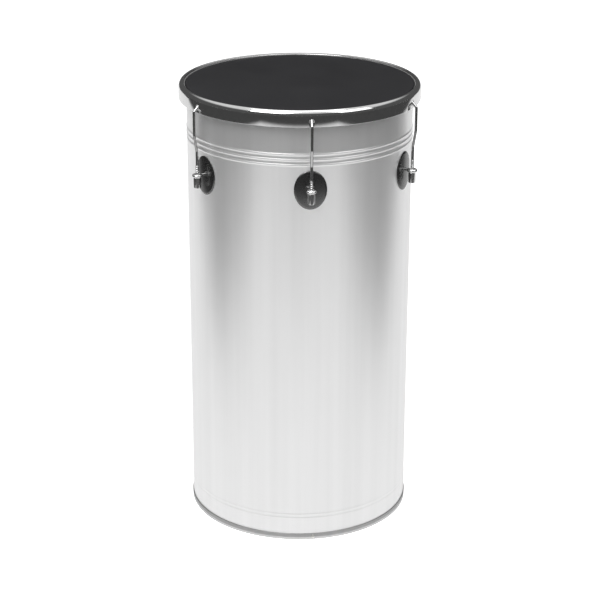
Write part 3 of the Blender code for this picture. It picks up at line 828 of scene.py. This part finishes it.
def hookThread(s):
    # the threaded lower end; the tree's thread starts at the origin, so the core is set down there first
    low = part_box("tension_hook_1")[0].z
    top = boltHeight + s["threadAboveEye"]
    root = s["threadRadius"] - s["threadDepth"]
    profile = [(0, low), (s["threadRadius"] * s["tipShare"], low), (root, low + s["tipLength"]),
               (root, top - s["rodSunk"]), (s["rodRadius"], top + s["collar"]), (0, top + s["collar"])]
    core = turned("thread_core", profile, s["sides"], hookChrome, closed=False)
    core.transform(Matrix.Translation((0, 0, -low)))
    thread = throughTree(core, threadUpZ,
                         {"Root radius": root + s["ridgeLift"], "Ridge": s["ridge"], "Pitch": s["pitch"],
                          "Length": top - s["ridgeStop"] - low, "Material": hookChrome})
    thread.transform(Matrix.Translation((rodLine, 0, low)))
    return thread


nutSizes = {"width": 0.010, "chamfer": 0.0012, "bore": 0.0029, "turn": 30}


def buildLongNuts(s):
    low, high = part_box("tuning_nut_1")
    flatOutwards = Matrix.Rotation(math.radians(s["turn"]), 4, "Z")
    for i, angle in enumerate(lugAngles):
        mesh = hexNut(f"long_nut_{i + 1}", s["width"], high.z - low.z, s["bore"], s["chamfer"], nutChrome)
        place = Matrix.Rotation(angle, 4, "Z") @ Matrix.Translation((rodLine, 0, low.z))
        mesh.transform(place @ flatOutwards)
        addPiece(f"long_nut_{i + 1}", mesh, f"nut_{i + 1}", "tuning_nut_chrome", f"tuning_nut_{i + 1}")


def buildLugs():
    plates = roundTheDrum(lugPlateMesh(plateSizes), plateChromePaintedShade)
    addPiece("lug_plates", plates, "shell", "plate_chrome", *allLugs("lug_plate"))
    eyes = roundTheDrum(eyeBoltMesh(boltSizes), boltChrome)
    addPiece("eye_bolts", eyes, "shell", "eye_bolt_chrome", *allLugs("eye_bolt"))
    washers = roundTheDrum(washerMesh(washerSizes), washerZinc)
    addPiece("backing_washers", washers, "shell", "washer_zinc", *allLugs("eye_washer"))
    innerNuts = roundTheDrum(innerNutMesh(innerNutSizes), innerNutZinc)
    addPiece("backing_nuts", innerNuts, "shell", "eye_nut_zinc", *allLugs("eye_nut"))
    hook = joinMeshes("tension_hooks", [hookRod(hookSizes), hookThread(hookSizes)])
    hooks = roundTheDrum(tidyMesh(hook, hookSizes["sharp"]), hookChrome)
    addPiece("tension_hooks", hooks, "hoop", "hook_chrome", *allLugs("tension_hook"))
    buildLongNuts(nutSizes)


buildLugs()
print("lugs made")


# Stage, lights and camera

photo = {"lens": 108.75, "azimuth": -5.4, "pitchDown": 20.96, "roll": 0.0031, "distance": 2.7277,
         "height": 1.3845, "shiftX": 0.00153}


def placeCamera(p):
    data = bpy.data.cameras.new("camera")
    data.lens = p["lens"]
    data.shift_x = p["shiftX"]
    camera = addObject("camera", data)
    a = math.radians(p["azimuth"])
    turn = (Matrix.Rotation(a, 4, "Z") @ Matrix.Rotation(math.radians(90 - p["pitchDown"]), 4, "X")
            @ Matrix.Rotation(p["roll"], 4, "Z"))
    place = Matrix.Translation((math.sin(a) * p["distance"], -math.cos(a) * p["distance"], p["height"]))
    camera.matrix_world = place @ turn
    bpy.context.scene.camera = camera


room = {"fill": 0.55, "seen": 1.0}


def seenRays(tree):
    # 1 for camera, glossy and transmission rays
    path = tree.nodes.new("ShaderNodeLightPath")
    seen = mathNode(tree, "MAXIMUM", path.outputs["Is Camera Ray"], path.outputs["Is Glossy Ray"])
    return mathNode(tree, "MAXIMUM", seen, path.outputs["Is Transmission Ray"])


def makeWorld(r):
    # white where it is seen, dimmer where it lights
    world = bpy.data.worlds.new("studio")
    bpy.context.scene.world = world
    world.use_nodes = True
    tree = world.node_tree
    background = tree.nodes["Background"]
    background.inputs["Color"].default_value = (1, 1, 1, 1)
    tree.links.new(rangeFrom(tree, seenRays(tree), r["fill"], r["seen"]), background.inputs["Strength"])


floorLook = {"radius": 14, "sides": 96, "level": 0.9, "rough": 0.9, "glow": 0.6}


def makeFloor(f):
    bpy.ops.mesh.primitive_circle_add(vertices=f["sides"], radius=f["radius"], fill_type="NGON")
    floor = bpy.context.object
    floor.name = "pale_floor"
    mat = bpy.data.materials.new("pale floor")
    mat.use_nodes = True
    tree = mat.node_tree
    shader = tree.nodes["Principled BSDF"]
    shader.inputs["Base Color"].default_value = (*grey(f["level"]), 1)
    shader.inputs["Roughness"].default_value = f["rough"]
    shader.inputs["Emission Color"].default_value = (1, 1, 1, 1)
    tree.links.new(rangeFrom(tree, seenRays(tree), 0.0, f["glow"]), shader.inputs["Emission Strength"])
    floor.data.materials.append(mat)


def reflectionCard(name, mesh):
    # a studio card that shows only in reflections; gives its tree, its coordinates and its emission node
    mat = bpy.data.materials.new(name)
    mat.use_nodes = True
    tree = mat.node_tree
    tree.nodes.remove(tree.nodes["Principled BSDF"])
    glow = tree.nodes.new("ShaderNodeEmission")
    tree.links.new(glow.outputs["Emission"], tree.nodes["Material Output"].inputs["Surface"])
    mesh.materials.append(mat)
    obj = addObject(name, mesh)
    obj.visible_camera = False
    obj.visible_diffuse = False
    obj.visible_shadow = False
    obj.visible_transmission = False
    coords = tree.nodes.new("ShaderNodeTexCoord")
    return tree, coords.outputs["Object"], glow


def splitFrom(tree, source):
    split = tree.nodes.new("ShaderNodeSeparateXYZ")
    tree.links.new(source, split.inputs["Vector"])
    return split


def edgeFade(tree, source, start, end):
    fade = tree.nodes.new("ShaderNodeMapRange")
    fade.interpolation_type = "SMOOTHSTEP"
    fade.inputs["From Min"].default_value = start
    fade.inputs["From Max"].default_value = end
    tree.links.new(source, fade.inputs["Value"])
    return fade.outputs["Result"]


# halfWidth and front are where a fade starts and ends, in metres
paper = {"radius": 6.5, "sides": 96, "height": 0.004, "turn": photo["azimuth"], "halfWidth": (0.8, 1.15),
         "spread": 0.8, "front": (1.1, 1.65), "bright": 0.93, "dark": 0.07}


def layPaper(c):
    # the pale paper under the drum, as metal sees it: it widens behind, and dark floor
    # begins past its sides and front
    bm = bmesh.new()
    bmesh.ops.create_circle(bm, cap_ends=True, segments=c["sides"], radius=c["radius"])
    bmesh.ops.translate(bm, verts=bm.verts, vec=(0, 0, c["height"]))
    tree, coords, glow = reflectionCard("paper_card", meshFrom(bm, "paper"))
    turn = tree.nodes.new("ShaderNodeMapping")
    turn.inputs["Rotation"].default_value = (0, 0, -math.radians(c["turn"]))
    tree.links.new(coords, turn.inputs["Vector"])
    split = splitFrom(tree, turn.outputs["Vector"])
    widening = mathNode(tree, "MULTIPLY", mathNode(tree, "MAXIMUM", split.outputs["Y"], 0.0), c["spread"])
    across = mathNode(tree, "SUBTRACT", mathNode(tree, "ABSOLUTE", split.outputs["X"]), widening)
    ahead = mathNode(tree, "MULTIPLY", split.outputs["Y"], -1.0)
    sideFade = edgeFade(tree, across, *c["halfWidth"])
    frontFade = edgeFade(tree, ahead, *c["front"])
    beyond = mathNode(tree, "MAXIMUM", sideFade, frontFade)
    tint = rampFrom(tree, beyond, (0.0, grey(c["bright"])), (1.0, grey(c["dark"])))
    tree.links.new(tint, glow.inputs["Color"])


# fade is in shares of the dome's height
dome = {"radius": 6.6, "segments": (48, 24), "fade": (0.5, 0.75), "dark": 0.1, "bright": 0.85}


def raiseDome(c):
    # the dim room above the paper
    around, upwards = c["segments"]
    bm = bmesh.new()
    bmesh.ops.create_uvsphere(bm, u_segments=around, v_segments=upwards, radius=c["radius"])
    tree, coords, glow = reflectionCard("room_card", meshFrom(bm, "dome"))
    height = mathNode(tree, "DIVIDE", splitFrom(tree, coords).outputs["Z"], c["radius"])
    fade = edgeFade(tree, height, *c["fade"])
    tint = rampFrom(tree, fade, (0.0, grey(c["dark"])), (1.0, grey(c["bright"])))
    tree.links.new(tint, glow.inputs["Color"])


softBoxes = {"key": {"azimuth": -35, "elevation": 48, "distance": 2.6, "size": 1.4, "power": 34},
             "fill": {"azimuth": 50, "elevation": 40, "distance": 3.0, "size": 1.6, "power": 18},
             "top": {"azimuth": 0, "elevation": 88, "distance": 2.4, "size": 1.6, "power": 22}}
lightAim = Vector((0, 0, 0.45))


def softBox(name, b):
    data = bpy.data.lights.new(name, "AREA")
    data.shape = "RECTANGLE"
    data.size = b["size"]
    data.size_y = b["size"]
    data.energy = b["power"]
    lamp = addObject(name, data)
    a = math.radians(b["azimuth"])
    e = math.radians(b["elevation"])
    back = Vector((math.sin(a) * math.cos(e), -math.cos(a) * math.cos(e), math.sin(e)))
    lamp.location = lightAim + back * b["distance"]
    lamp.rotation_euler = (-back).to_track_quat("-Z", "Y").to_euler()


placeCamera(photo)
makeWorld(room)
makeFloor(floorLook)
layPaper(paper)
raiseDome(dome)
for boxName, boxSizes in softBoxes.items():
    softBox(boxName, boxSizes)
print("stage set")

bpy.context.scene.view_settings.view_transform = "Standard"
